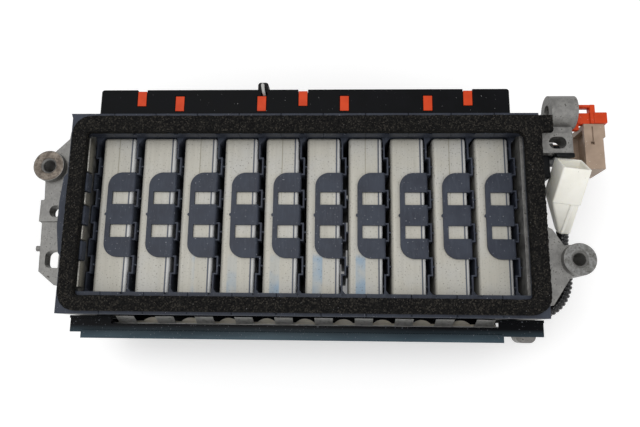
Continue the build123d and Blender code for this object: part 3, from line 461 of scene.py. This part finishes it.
class ModuleColours(PropertyGroup):
    """Main colours of the finishes."""

    can: FloatVectorProperty(
        name="Cans", description="Aluminium of the cell cans",
        subtype="COLOR", size=3, min=0, max=1, default=linear("#b7b4aa"))
    spacer: FloatVectorProperty(
        name="Spacers", description="Plastic of the spacers and rims",
        subtype="COLOR", size=3, min=0, max=1, default=linear("#2f333e"))
    casting: FloatVectorProperty(
        name="Castings", description="Skin of the cast end plates",
        subtype="COLOR", size=3, min=0, max=1, default=linear("#7c7b79"))
    foam: FloatVectorProperty(
        name="Foam", description="Foam of the seal",
        subtype="COLOR", size=3, min=0, max=1, default=linear("#070708"))
    painted_steel: FloatVectorProperty(
        name="Tie bar", description="Paint of the front tie bar",
        subtype="COLOR", size=3, min=0, max=1, default=linear("#0c0d10"))
    cover: FloatVectorProperty(
        name="Cover", description="Plastic of the busbar cover",
        subtype="COLOR", size=3, min=0, max=1, default=linear("#08090b"))
    orange: FloatVectorProperty(
        name="High voltage orange", description="Plastic of the latches and the connector lock",
        subtype="COLOR", size=3, min=0, max=1, default=linear("#d24419"))
    tan: FloatVectorProperty(
        name="Power connector", description="Plastic of the power connector",
        subtype="COLOR", size=3, min=0, max=1, default=linear("#a8927f"))
    white: FloatVectorProperty(
        name="Signal connector", description="Nylon of the signal connector",
        subtype="COLOR", size=3, min=0, max=1, default=linear("#f7f5ec"))
    floor: FloatVectorProperty(
        name="Floor", description="Floor under the module",
        subtype="COLOR", size=3, min=0, max=1, default=linear("#fbfbfb"))


class MODULE_OT_cells(Operator):
    """Finish the aluminium cans of the ten cells"""

    bl_idname = "battery_module.cells"
    bl_label = "Finish cells"

    def execute(self, context):
        finish_nodes(CELLS, drawn_aluminium(context.scene.module_colours))
        return {"FINISHED"}


class MODULE_OT_spacers(Operator):
    """Finish the moulded spacers with their rims, walls and tabs"""

    bl_idname = "battery_module.spacers"
    bl_label = "Finish spacers"

    def execute(self, context):
        finish_nodes(SPACERS, moulded_spacer(context.scene.module_colours))
        return {"FINISHED"}


class MODULE_OT_end_plates(Operator):
    """Finish the cast end plates and make the web behind the slotted pad"""

    bl_idname = "battery_module.end_plates"
    bl_label = "Finish end plates"

    def execute(self, context):
        casting = cast_plate(context.scene.module_colours)
        finish_nodes(("end_plate_left", "end_plate_right"), casting)
        blocks_piece("slot_web", SLOT_WEB, casting)
        return {"FINISHED"}


class MODULE_OT_foam_seal(Operator):
    """Make the crumbly foam ring with its torn edges and free tail"""

    bl_idname = "battery_module.foam_seal"
    bl_label = "Make foam seal"

    def execute(self, context):
        sizes = context.scene.module_sizes
        low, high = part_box("foam_seal")
        mesh = voxel_copy("foam_seal", sizes.crumb)
        ring = FOAM_RING_WIDTH * MM
        corner = high.x - 18 * MM
        inner = low.x + ring
        normals = [vertex.normal.copy() for vertex in mesh.vertices]
        for vertex, normal in zip(mesh.vertices, normals):
            place = vertex.co
            torn = max(0.0, min(1.0, (place.x - corner) / (8 * MM)))
            pits = noise.noise(place / (1.5 * MM)) * 0.6 + noise.noise(place / (0.8 * MM)) * 0.4
            wave = 0.5 + 0.5 * noise.noise(place / (16 * MM))
            rough = sizes.crumb_depth * (0.5 - 0.5 * pits)
            rear = max(0.0, min(1.0, (place.y - high.y + ring) / ring))
            front = max(0.0, 1.0 - abs(place.y - low.y - ring) / ring)
            left = max(0.0, 1.0 - abs(place.x - inner) / ring)
            trim = Vector((-1.8 * left, -2.0 * front - 0.6 * rear * (1.0 - torn), 0.0)) * MM
            inward = Vector((normal.x, normal.y, max(normal.z, 0.0)))
            ragged = 1.0 + 1.6 * torn + 1.2 * max(0.0, noise.noise(place / (7 * MM)))
            vertex.co = place + trim - inward * rough * ragged
            vertex.co.z -= sizes.sag * wave * (place.z - low.z) / (high.z - low.z)
        seal = new_piece("seal_foam", mesh, cell_foam(context.scene.module_colours))
        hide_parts("foam_seal")
        return {"FINISHED"}


def voxel_copy(node, size):
    """A mesh with the shape of a CAD node and even faces of that size."""
    copy = bpy.data.objects.new("copy", frame["nodes"][node].data.copy())
    bpy.context.scene.collection.objects.link(copy)
    remesh = copy.modifiers.new("even faces", "REMESH")
    remesh.mode = "VOXEL"
    remesh.voxel_size = size
    evaluated = copy.evaluated_get(bpy.context.evaluated_depsgraph_get())
    mesh = bpy.data.meshes.new_from_object(evaluated)
    bpy.data.objects.remove(copy)
    mesh.name = node + "_crumbs"
    return mesh


class MODULE_OT_front_bar(Operator):
    """Finish the tie bar, bolts and pressure strip, and make the insulator and a dark strip behind it as
    painted shadow
    """

    bl_idname = "battery_module.front_bar"
    bl_label = "Finish front bar"

    def execute(self, context):
        colours = context.scene.module_colours
        zinc = plated_steel("zinc plated steel", "#b7b5ac", "#cfcdc4", 0.34)
        paint = painted_steel(colours)
        finish_nodes(("front_tie_bar",), paint)
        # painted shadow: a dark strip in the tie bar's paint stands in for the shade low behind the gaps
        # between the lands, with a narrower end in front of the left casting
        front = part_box("pressure_strip")[0].y / MM + 1.2
        blocks_piece("painted_shadow_strip", [((-152.8, front, -85.0), (150, -68.2, -83.5)),
                                       ((-158, front, -85.0), (-152.0, -72.3, -83.5))],
                     paint, 0.4)
        finish_nodes(("tie_bar_bolts", "rear_tie_rods", "tie_rod_nuts", "terminal_nuts"), zinc)
        finish_nodes(("pressure_strip",),
                     plated_steel("zinc flake coated spring steel", "#dddcd8", "#efeeeb", 0.45, 0.1))
        cream = moulded_plastic("moulded polyamide, natural", linear("#fff6e6"), "#f4ead6", 0.5,
                                dust="#8d8474", dusty=0.80, soft=0.1)
        tongues = new_piece("insulator_tongues", self.tongues_mesh(), cream)
        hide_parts("tie_bar_insulator")
        return {"FINISHED"}

    def tongues_mesh(self):
        """The insulating strip behind the lands, with a shallow round tongue at every air gap."""
        low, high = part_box("tie_bar_insulator")
        shape = bmesh.new()
        back = (low.x / MM, low.y / MM, -81.0), (high.x / MM, low.y / MM + 1.6, -70.0)
        rounded_block(shape, *back, 0.4)
        root = low.y + 1.5 * MM
        reach = 3.0 * MM
        half = 7.2 * MM
        radius = (half * half + reach * reach) / (2 * reach)
        turn = math.asin(half / radius)
        for gap in range(len(CELLS) - 1):
            middle = (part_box(CELLS[gap])[1].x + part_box(CELLS[gap + 1])[0].x) / 2
            outline = [(middle + radius * math.sin(angle), root + reach - radius + radius * math.cos(angle))
                       for angle in (turn * (step / 8 - 1) for step in range(17))]
            lower = [shape.verts.new((x, y, RIM_TOP - 72.0 * MM)) for x, y in outline]
            upper = [shape.verts.new((x, y, RIM_TOP - 70.2 * MM)) for x, y in outline]
            shape.faces.new(lower)
            shape.faces.new(upper[::-1])
            for index in range(len(outline)):
                after = (index + 1) % len(outline)
                shape.faces.new((lower[after], lower[index], upper[index], upper[after]))
        bmesh.ops.recalc_face_normals(shape, faces=shape.faces)
        return as_mesh("insulator_tongues", shape, smooth=False)


class MODULE_OT_left_pads(Operator):
    """Make the row of moulded pads and bright lands inside the left end of the air inlet"""

    bl_idname = "battery_module.left_pads"
    bl_label = "Make left pads"

    def execute(self, context):
        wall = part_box("end_plate_left")[1].x / MM
        plastic = moulded_spacer(context.scene.module_colours)
        burnished = plated_steel("burnished die cast aluminium", "#77756f", "#a5a39d", 0.4)
        for name, rows, material, slot in (("inlet_pads", PAD_ROWS, plastic, "spacer_plastic"),
                                           ("inlet_lands", LAND_ROWS, burnished, "cast_aluminium")):
            blocks = [((wall + 0.02, start, -8.5), (wall + 2.2, end, -0.4)) for start, end in rows]
            blocks_piece(name, blocks, material, 1.0)
        return {"FINISHED"}


class MODULE_OT_terminal_side(Operator):
    """Finish the busbars, their frame with its latches, the cover, and the sense wire"""

    bl_idname = "battery_module.terminal_side"
    bl_label = "Finish terminal side"

    def execute(self, context):
        colours = context.scene.module_colours
        finish_nodes(("busbars",), plated_steel("tin plated copper", "#c2c0ba", "#d3d1cb", 0.32))
        finish_nodes(("busbar_frame",),
                     moulded_plastic("moulded PBT, orange", tuple(colours.orange), "#c23c14", 0.42,
                                     gloss=0.2))
        finish_nodes(("busbar_cover",),
                     moulded_plastic("moulded ABS, black", tuple(colours.cover), "#0d0e11", 0.5,
                                     dust="#a5a5a5", dusty=0.80, gloss=0.08))
        finish_nodes(("sense_boot",),
                     moulded_plastic("moulded rubber, black", linear("#08080a"), "#111113", 0.6, gloss=0.2))
        finish_nodes(("sense_wire",),
                     moulded_plastic("extruded PVC, grey", linear("#a9a9a6"), "#c2c2bf", 0.4))
        return {"FINISHED"}


class MODULE_OT_connectors(Operator):
    """Finish the power connector and the socket, and make the hood, the white housing and the lock"""

    bl_idname = "battery_module.connectors"
    bl_label = "Finish connectors"

    def execute(self, context):
        colours = context.scene.module_colours
        black = moulded_plastic("moulded polyamide, black", linear("#0b0c0e"), "#141518", 0.42, gloss=0.15)
        finish_nodes(("harness_socket",), black)
        clip = blocks_piece("connector_hood", HOOD_BLOCKS, black, 1.1)
        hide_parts("connector_clip")
        white = moulded_plastic("moulded nylon, white", tuple(colours.white), "#f0eee4", 0.38,
                                dust="#77776f", dusty=0.80, soft=0.2)
        housing = new_piece("signal_housing", self.signal_housing(), white)
        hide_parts("signal_connector")
        finish_nodes(("power_connector",),
                     moulded_plastic("moulded PBT, tan", tuple(colours.tan), "#96816f", 0.5,
                                     dust="#c4b3a4", dusty=0.76))
        orange = moulded_plastic("moulded PBT, orange lock", tuple(colours.orange), "#c23c14", 0.42,
                                 gloss=0.2, soft=0.05)
        lock = blocks_piece("lock_slide", SLIDE_BLOCKS, orange, 0.6)
        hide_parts("power_connector_lock")
        return {"FINISHED"}

    def signal_housing(self):
        """The white housing: a deep rectangular mouth, a step, and a rear that narrows to the tube."""
        axis = Vector((-0.12, -0.79, -0.60)).normalized()
        side = Vector((1, 0, 0))
        side = (side - axis * side.dot(axis)).normalized()
        up = axis.cross(side)
        mouth = Vector((187.8, 28.9, 5.4)) - up * 9.9

        def section(along, width, height, radius, shift=0.0, drop=0.0):
            """One outline that far behind the mouth, moved sideways and downwards."""
            centre = mouth + axis * along + side * shift - up * drop
            points = rounded_section(centre, side, up, width, height, radius)
            return [point * MM + Vector((0, 0, RIM_TOP)) for point in points]

        sections = [
            section(19.0, 16.0, 16.4, 0.5),
            section(0.5, 16.6, 17.0, 0.5),
            section(0.0, 17.4, 17.8, 0.6),
            section(0.0, 18.8, 19.4, 0.9),
            section(0.5, 19.4, 20.0, 1.2),
            section(26.4, 20.2, 19.6, 1.2),
            section(26.8, 19.4, 18.6, 1.4, -0.2, 0.0),
            section(27.3, 19.2, 18.2, 1.6, -0.2, -0.2),
            section(49.0, 10.0, 9.8, 2.4, 5.2, -4.1),
            section(50.6, 8.0, 7.8, 2.4, 5.3, -4.1),
        ]
        mesh = lofted_mesh("signal_housing", sections)
        rib = lofted_mesh("rib", [
            section(27.0, 2.2, 2.0, 0.6, 3.8, -9.2),
            section(38.0, 2.2, 2.0, 0.6, 3.5, -9.0),
            section(49.4, 2.2, 2.0, 0.6, 3.2, -8.8),
        ])
        joined = bmesh.new()
        joined.from_mesh(mesh)
        joined.from_mesh(rib)
        joined.to_mesh(mesh)
        joined.free()
        return mesh


def tube_points():
    """The given route of the harness tube, from the signal connector to its socket."""
    return [Vector((x * MM, y * MM, RIM_TOP + z * MM)) for x, y, z in TUBE_ROUTE]


def smooth_line(points, resolution=24):
    """The points of a NURBS line through a route, read back from Blender's own curve."""
    curve = bpy.data.curves.new("route", "CURVE")
    curve.dimensions = "3D"
    spline = curve.splines.new("NURBS")
    spline.points.add(len(points) - 1)
    for control, point in zip(spline.points, points):
        control.co = (*point, 1.0)
    spline.order_u = 3
    spline.use_endpoint_u = True
    curve.resolution_u = resolution
    holder = bpy.data.objects.new("route", curve)
    bpy.context.scene.collection.objects.link(holder)
    mesh = bpy.data.meshes.new_from_object(holder.evaluated_get(bpy.context.evaluated_depsgraph_get()))
    line = [vertex.co.copy() for vertex in mesh.vertices]
    bpy.data.objects.remove(holder)
    return line


def even_steps(line, step):
    """Points at even steps along a line."""
    places = [line[0]]
    left = step
    for start, end in zip(line, line[1:]):
        run = (end - start).length
        while run >= left and run > 0:
            start = start + (end - start) * (left / run)
            places.append(start)
            run = (end - start).length
            left = step
        left -= run
    places.append(line[-1])
    return places


def ringed_tube(line, radius, pitch, depth, sides=28):
    """A tube along a line, with a round-backed ring at every pitch."""
    step = pitch / 8
    places = even_steps(line, step)
    shape = bmesh.new()
    rings = []
    side = Vector((1, 0, 0))
    for index, place in enumerate(places):
        ahead = places[min(index + 1, len(places) - 1)]
        behind = places[max(index - 1, 0)]
        along = (ahead - behind).normalized()
        side = (side - along * side.dot(along)).normalized()
        other = along.cross(side)
        swell = abs(math.sin(math.pi * index * step / pitch)) ** 0.5
        reach = radius - depth * (1 - swell)
        ring = []
        for count in range(sides):
            turn = 2 * math.pi * count / sides
            ring.append(shape.verts.new(place + (side * math.cos(turn) + other * math.sin(turn)) * reach))
        rings.append(ring)
    for ring, following in zip(rings, rings[1:]):
        for count in range(sides):
            after = (count + 1) % sides
            shape.faces.new((ring[count], ring[after], following[after], following[count]))
    shape.faces.new(rings[0][::-1])
    shape.faces.new(rings[-1])
    return as_mesh("harness_tube_rings", shape)


class MODULE_OT_harness_tube(Operator):
    """Make the corrugated tube between the signal connector and its socket"""

    bl_idname = "battery_module.harness_tube"
    bl_label = "Make harness tube"

    def execute(self, context):
        sizes = context.scene.module_sizes
        line = smooth_line(tube_points())
        mesh = ringed_tube(line, sizes.tube_diameter / 2, sizes.tube_pitch, sizes.tube_depth)
        gloss = moulded_plastic("extruded polyamide, corrugated", linear("#0a0a0b"), "#131315", 0.16)
        tube = new_piece("corrugated_tube", mesh, gloss)
        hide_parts("harness_tube")
        return {"FINISHED"}


class MODULE_OT_stage(Operator):
    """Make the floor, the lights and the camera"""

    bl_idname = "battery_module.stage"
    bl_label = "Set the stage"

    def execute(self, context):
        self.make_floor(context.scene.module_colours)
        self.make_light(context)
        self.make_camera(context)
        context.scene.view_settings.view_transform = "Standard"
        return {"FINISHED"}

    def make_floor(self, colours):
        """A pale floor just under the module."""
        shape = bmesh.new()
        bmesh.ops.create_grid(shape, x_segments=1, y_segments=1, size=4.0)
        mesh = bpy.data.meshes.new("floor")
        shape.to_mesh(mesh)
        shape.free()
        floor = bpy.data.objects.new("floor", mesh)
        floor.location.z = CAD_BOX[0].z
        bpy.context.scene.collection.objects.link(floor)
        material, tree, shader, _ = new_finish("matt painted floor", 0.0, 0.9)
        shader.inputs["Base Color"].default_value = (*colours.floor, 1.0)
        shader.inputs["Specular IOR Level"].default_value = 0.1
        shader.inputs["Emission Color"].default_value = (1.0, 1.0, 1.0, 1.0)
        rays = add_node(tree, "ShaderNodeLightPath").outputs
        seen = add_node(tree, "ShaderNodeMath", {"operation": "MAXIMUM"},
                        links={0: rays["Is Camera Ray"], 1: rays["Is Glossy Ray"]}).outputs[0]
        tree.links.new(between(tree, seen, 0.0, 1.0, 0.0, 0.22), shader.inputs["Emission Strength"])
        mesh.materials.append(material)

    def make_light(self, context):
        """An even white surround, a large soft lamp above and a smaller one from the front right."""
        world = bpy.data.worlds.new("white surround")
        world.use_nodes = True
        surround = world.node_tree.nodes["Background"]
        surround.inputs["Color"].default_value = (1.0, 1.0, 1.0, 1.0)
        glow = add_node(world.node_tree, "ShaderNodeLightPath").outputs["Is Camera Ray"]
        world.node_tree.links.new(between(world.node_tree, glow, 0.0, 1.0, 0.58, 1.0),
                                  surround.inputs["Strength"])
        context.scene.world = world
        self.add_lamp(context, "overhead softbox", (-0.3, 0.12, 1.55), 0.9, 8.5)
        self.add_lamp(context, "side softbox", (0.9, -0.5, 1.1), 0.5, 2.5)

    def add_lamp(self, context, name, place, size, power):
        """A square soft lamp aimed at the module."""
        light = bpy.data.lights.new(name, "AREA")
        light.size = size
        light.energy = power
        lamp = bpy.data.objects.new(name, light)
        lamp.location = place
        aim = Vector((0, 0, RIM_TOP)) - Vector(place)
        lamp.rotation_euler = aim.to_track_quat("-Z", "Y").to_euler()
        context.scene.collection.objects.link(lamp)

    def make_camera(self, context):
        """The camera above the front edge, looking down and slightly to the rear."""
        camera = bpy.data.cameras.new("camera")
        camera.sensor_width = 36.0
        camera.lens = 33.75
        camera.clip_start = 0.01
        holder = bpy.data.objects.new("camera", camera)
        holder.location = (29.518 * MM, -82.005 * MM, RIM_TOP + 403.294 * MM)
        holder.rotation_euler = Euler([math.radians(angle) for angle in (11.305, 2.1535, 0.6891)])
        context.scene.collection.objects.link(holder)
        context.scene.camera = holder


class MODULE_PT_panel(Panel):
    """The module's sizes, colours and steps"""

    bl_idname = "MODULE_PT_panel"
    bl_label = "Battery module"
    bl_space_type = "VIEW_3D"
    bl_region_type = "UI"
    bl_category = "Battery module"

    def draw(self, context):
        for group in (context.scene.module_sizes, context.scene.module_colours):
            for name in group.__annotations__:
                self.layout.prop(group, name)
        for step in STEPS:
            self.layout.operator(step.bl_idname)


STEPS = (
    MODULE_OT_cells,
    MODULE_OT_spacers,
    MODULE_OT_end_plates,
    MODULE_OT_foam_seal,
    MODULE_OT_front_bar,
    MODULE_OT_left_pads,
    MODULE_OT_terminal_side,
    MODULE_OT_connectors,
    MODULE_OT_harness_tube,
    MODULE_OT_stage,
)
CLASSES = (ModuleSizes, ModuleColours, *STEPS, MODULE_PT_panel)


def register():
    """Registers the classes and hangs the settings on the scene."""
    for each in CLASSES:
        bpy.utils.register_class(each)
    bpy.types.Scene.module_sizes = PointerProperty(type=ModuleSizes)
    bpy.types.Scene.module_colours = PointerProperty(type=ModuleColours)


def unregister():
    """Takes the settings and the classes away again."""
    del bpy.types.Scene.module_colours
    del bpy.types.Scene.module_sizes
    for each in reversed(CLASSES):
        bpy.utils.unregister_class(each)


def main():
    """Dresses the whole module."""
    register()
    bpy.ops.battery_module.cells()
    bpy.ops.battery_module.spacers()
    bpy.ops.battery_module.end_plates()
    bpy.ops.battery_module.foam_seal()
    bpy.ops.battery_module.front_bar()
    bpy.ops.battery_module.left_pads()
    bpy.ops.battery_module.terminal_side()
    bpy.ops.battery_module.connectors()
    bpy.ops.battery_module.harness_tube()
    bpy.ops.battery_module.stage()


if __name__ == "__main__":
    main()
